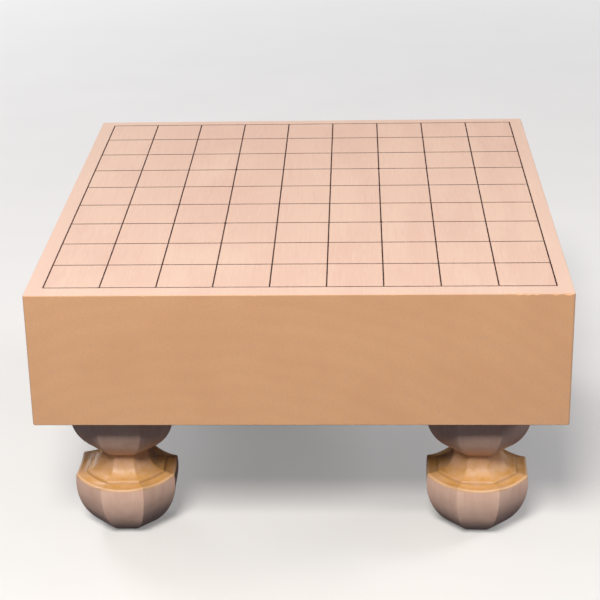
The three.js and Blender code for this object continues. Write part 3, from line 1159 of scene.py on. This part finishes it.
    def raise_ring(self, leg: Workpiece, before: Ring, after: Ring) -> None:
        """Extrudes the selected end face to its next ring, and selects it again.

        Args:
            leg: The leg in edit mode.
            before: The ring that the end face is at.
            after: The ring that it goes to.
        """
        rises = [high - low for low, high in zip(before.heights, after.heights)]
        bpy.ops.mesh.extrude_region_move(TRANSFORM_OT_translate={"value": (0, 0, rises[0] * MM)})
        moves: dict[tuple[float, float], list[int]] = {}
        for column, rise in enumerate(rises):
            growth = after.half_widths[column] / before.half_widths[column]
            move = (round(growth, ALIKE_DIGITS), round(rise - rises[0], ALIKE_DIGITS))
            moves.setdefault(move, []).append(column)
        for (growth, rise), columns in moves.items():
            leg.select(Element.VERTEX, lambda vertex: self.is_rim(vertex)
                       and self.column_of(vertex.co) in columns)
            bpy.ops.transform.resize(value=(growth, growth, 1), center_override=(0, 0, 0))
            bpy.ops.transform.translate(value=(0, 0, rise * MM))
        mesh = bmesh.from_edit_mesh(leg.object.data)
        layers = [(mesh.verts.layers.float[name], getattr(after, name)) for name in PAINTS]
        for vertex in filter(self.is_rim, mesh.verts):
            for layer, value in layers:
                vertex[layer] = value
        leg.select(Element.FACE, lambda face: len(face.verts) > 4
                   and face.calc_center_median().z > TOUCH)

    def pattern_leg(self) -> Workpiece:
        """Models one leg round the upright axis through the origin.

        Returns:
            The leg that the others are copied from.
        """
        rings = [*self.lower_bulb(), *self.crown(), *self.neck_and_bulb(), *self.tenon()]
        deselect_everything()
        bpy.ops.mesh.primitive_circle_add(
            vertices=self.sides, fill_type="NGON", location=(0, 0, rings[0].heights[0] * MM),
            radius=rings[0].half_widths[0] / math.cos(math.pi / self.sides) * MM,
            rotation=(0, 0, math.pi / self.sides))
        leg = Workpiece("carved_leg")
        for name in PAINTS:
            leg.object.data.attributes.new(name, "FLOAT", "POINT")
        with leg.editing():
            bpy.ops.mesh.select_all(action="SELECT")
            bpy.ops.mesh.subdivide(number_cuts=2 * self.columns - 1)
            for before, after in zip(rings, rings[1:]):
                self.raise_ring(leg, before, after)
            bpy.ops.mesh.select_all(action="SELECT")
            bpy.ops.mesh.normals_make_consistent(inside=False)
        return leg

    def place_leg(self, pattern: bpy.types.Object, name: str) -> Workpiece:
        """Copies the pattern leg to its place under the block.

        Args:
            pattern: The leg to copy.
            name: Which corner the leg stands at.

        Returns:
            The copy, turned and placed in its mesh.
        """
        low, high = self.boxes[name]
        deselect_everything()
        pattern.select_set(True)
        bpy.context.view_layer.objects.active = pattern
        bpy.ops.object.duplicate(linked=False)
        copy = bpy.context.object
        copy.rotation_euler.z = math.radians(self.turns[name])
        copy.location = ((low.x + high.x) / 2, (low.y + high.y) / 2, 0)
        return Workpiece(f"carved_leg_{name}")

    def raise_corner(self, leg: Workpiece, middle: Vector, corner: TallCorner) -> None:
        """Draws one corner of a crown up and in, and less and less of the wood round it.

        Args:
            leg: The leg, in its place.
            middle: The middle of the leg.
            corner: Which corner, and how far it goes.
        """
        angle = math.radians(corner.direction)
        outwards = Vector((math.cos(angle), math.sin(angle), 0))
        tip = middle + outwards * self.belly / math.cos(math.pi / self.sides) * MM
        tip.z = (self.shoulder_level - self.rim_drop) * MM
        near = 2 * self.rim_lip * MM
        with leg.editing():
            leg.select(Element.VERTEX, lambda vertex: (vertex.co - tip).length < near)
            bpy.ops.transform.translate(
                value=Vector((0, 0, corner.rise * MM)) - outwards * corner.lean * MM,
                use_proportional_edit=True, use_proportional_connected=True,
                proportional_edit_falloff="SMOOTH", proportional_size=corner.reach * MM)

    def is_carved(self, place: Vector) -> bool:
        """Whether a point is on the carved skin and not on the foot, the shoulder or the tenon."""
        return MM < place.z < (self.shoulder_level - self.edge_round) * MM

    def build(self) -> list[bpy.types.Object]:
        """Models the four legs, dresses them and puts each on its body.

        Returns:
            The finished legs.
        """
        pattern = self.pattern_leg()
        material = self.wood.material()
        legs = []
        for name, (low, high) in self.boxes.items():
            leg = self.place_leg(pattern.object, name)
            if name in self.tall_corners:
                self.raise_corner(leg, (low + high) / 2, self.tall_corners[name])
            leg.dent("cut_by_hand", self.carving_size, self.carving_depth, self.is_carved)
            leg.modify("BEVEL", width=self.edge_round * MM, segments=self.round_segments,
                       limit_method="ANGLE", angle_limit=math.radians(self.round_from_degrees),
                       use_clamp_overlap=False)
            leg.smooth(self.smooth_degrees)
            leg.object.data.materials.append(material)
            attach(leg.object, f"{name}_leg")
            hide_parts(f"leg_{name}")
            legs.append(leg.object)
        bpy.data.objects.remove(pattern.object, do_unlink=True)
        return legs


@dataclass(frozen=True)
class PaleFloor:
    """Matt painted studio floor: even, with a faint mottle that keeps it from looking flat.

    The camera sees it pale, and white in the distance, and it throws as little light back at the
    board as a dark floor does. It lies a hair below the feet.
    """

    name: str = "matt_painted_floor"
    paint: str = "#DBDAD8"
    mottle: str = "#D5D4D2"
    bounce: str = "#3A3F49"
    distant: str = "#FFFFFF"
    mottles_per_metre: float = 9.0
    roughness: float = 0.85
    lift: float = 0.32
    white_from: float = 0.6
    white_to: float = 2.6
    radius: float = 6.0
    drop: float = 0.0001
    sides: int = 96

    def material(self) -> bpy.types.Material:
        """Builds the material.

        Returns:
            The paint, pale for the camera and dark for the light that it throws back.
        """
        material = bpy.data.materials.new(self.name)
        shading = Shading(material)
        place = shading.coordinates["Object"]
        seen = shading.add("LightPath")["Is Camera Ray"]
        noise = shading.add("TexNoise", inputs={"Vector": place, "Scale": self.mottles_per_metre})
        pale = shading.add("Mix", {"data_type": "RGBA"}, {
            "Factor": noise["Fac"], 6: self.paint, 7: self.mottle})[2]
        colour = shading.add("Mix", {"data_type": "RGBA"}, {
            "Factor": seen, 6: self.bounce, 7: pale})[2]
        lift = shading.add("Math", {"operation": "MULTIPLY"}, {0: seen, 1: self.lift})[0]
        near = shading.add("BsdfPrincipled", inputs={
            "Base Color": colour, "Roughness": self.roughness, "Emission Color": pale,
            "Emission Strength": lift})["BSDF"]
        reach = shading.add("VectorMath", {"operation": "LENGTH"}, {0: place})["Value"]
        distance = shading.add("MapRange", {"interpolation_type": "SMOOTHSTEP"}, {
            "Value": reach, "From Min": self.white_from, "From Max": self.white_to})["Result"]
        share = shading.add("Math", {"operation": "MULTIPLY"}, {0: distance, 1: seen})[0]
        far = shading.add("Emission", inputs={"Color": self.distant})["Emission"]
        surface = shading.add("MixShader", inputs={"Fac": share, 1: near, 2: far})
        shading.add("OutputMaterial", inputs={"Surface": surface["Shader"]})
        return material

    def build(self) -> None:
        """Lays the floor and puts its paint on it."""
        deselect_everything()
        bpy.ops.mesh.primitive_circle_add(
            vertices=self.sides, radius=self.radius, fill_type="NGON", location=(0, 0, -self.drop))
        floor = Workpiece("studio_floor").object
        floor.data.materials.append(self.material())


@dataclass(frozen=True)
class SoftLamp:
    """One square soft box: where it hangs, how wide it is, its power in watts and its colour."""

    name: str
    place: tuple[float, float, float]
    size: float
    power: float
    colour: str


@dataclass
class Studio:
    """The camera at the photograph's angle, the soft boxes, the even surround and the floor.

    The lens and the sensor are in millimetres, and the shifts are shares of the sensor's width.
    """

    camera_place: tuple[float, float, float] = (0.036085, -1.132927, 0.57303)
    camera_down_degrees: float = 22.506
    camera_left_degrees: float = 3.320
    camera_roll_degrees: float = -1.514
    camera_nearest: float = 0.05
    focal_length: float = 102.389
    sensor_width: float = 36.0
    shift_right: float = 0.05794
    shift_up: float = 0.001974
    surround: str = "#FFFFFF"
    surround_light: str = "#555962"
    floor: PaleFloor = PaleFloor()
    lamps: tuple[SoftLamp, ...] = (
        SoftLamp("front_soft_box", (-0.28, -1.5, 1.69), 0.65, 47.0, "#FFFAF4"),
        SoftLamp("overhead_soft_box", (0.0, -0.4, 2.1), 1.2, 2.0, "#FFFFFF"),
        SoftLamp("right_fill", (2.3, 0.5, 1.25), 0.9, 20.0, "#FCFBFF"),
        SoftLamp("rear_left_fill", (-1.5, 1.9, 1.35), 0.9, 23.0, "#FCFBFF"),
    )

    def add_camera(self) -> None:
        """Puts the camera where the photograph was taken from."""
        data = bpy.data.cameras.new("photo_camera")
        data.lens = self.focal_length
        data.sensor_width = self.sensor_width
        data.shift_x = self.shift_right
        data.shift_y = self.shift_up
        data.clip_start = self.camera_nearest
        camera = bpy.data.objects.new("photo_camera", data)
        bpy.context.collection.objects.link(camera)
        aim = (Matrix.Rotation(math.radians(self.camera_left_degrees), 4, "Z")
               @ Matrix.Rotation(math.radians(90 - self.camera_down_degrees), 4, "X")
               @ Matrix.Rotation(math.radians(self.camera_roll_degrees), 4, "Z"))
        camera.matrix_world = Matrix.Translation(self.camera_place) @ aim
        bpy.context.scene.camera = camera

    def add_lamp(self, lamp: SoftLamp, target: Vector) -> None:
        """Hangs one soft box and aims it.

        Args:
            lamp: The soft box.
            target: What it is aimed at.
        """
        data = bpy.data.lights.new(lamp.name, "AREA")
        data.shape = "SQUARE"
        data.size = lamp.size
        data.energy = lamp.power
        data.color = linear(lamp.colour)[:3]
        holder = bpy.data.objects.new(lamp.name, data)
        bpy.context.collection.objects.link(holder)
        holder.location = lamp.place
        holder.rotation_euler = (target - holder.location).to_track_quat("-Z", "Y").to_euler()

    def add_surround(self) -> None:
        """Lights the board softly and a little coolly all round, and shows white behind it."""
        world = bpy.data.worlds.new("even_surround")
        bpy.context.scene.world = world
        shading = Shading(world)
        colour = shading.add("Mix", {"data_type": "RGBA"}, {
            "Factor": shading.add("LightPath")["Is Camera Ray"],
            6: self.surround_light, 7: self.surround})
        light = shading.add("Background", inputs={"Color": colour[2]})
        shading.add("OutputWorld", inputs={"Surface": light["Background"]})

    def build(self) -> None:
        """Sets up camera, lamps, surround, floor and the plain view transform."""
        bpy.context.scene.view_settings.view_transform = "Standard"
        self.add_camera()
        low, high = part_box("board_slab")
        for lamp in self.lamps:
            self.add_lamp(lamp, (low + high) / 2)
        self.add_surround()
        self.floor.build()


def main() -> None:
    """Builds the studio and the board in order."""
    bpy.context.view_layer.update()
    Studio().build()
    joinery = Joinery()
    block_wood = PlanedAgathis(grid_box=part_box("lacquer_grid"), block_box=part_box("board_slab"))
    legs = CarvedLegs(CarvedAgathis(), joinery)
    pieces = [
        PlayingBlock(block_wood, joinery, legs.places()).build(),
        LacquerGrid(RaisedLacquer()).build(),
        *legs.build(),
    ]


if __name__ == "__main__":
    logging.basicConfig(level=logging.INFO, format="%(message)s")
    main()
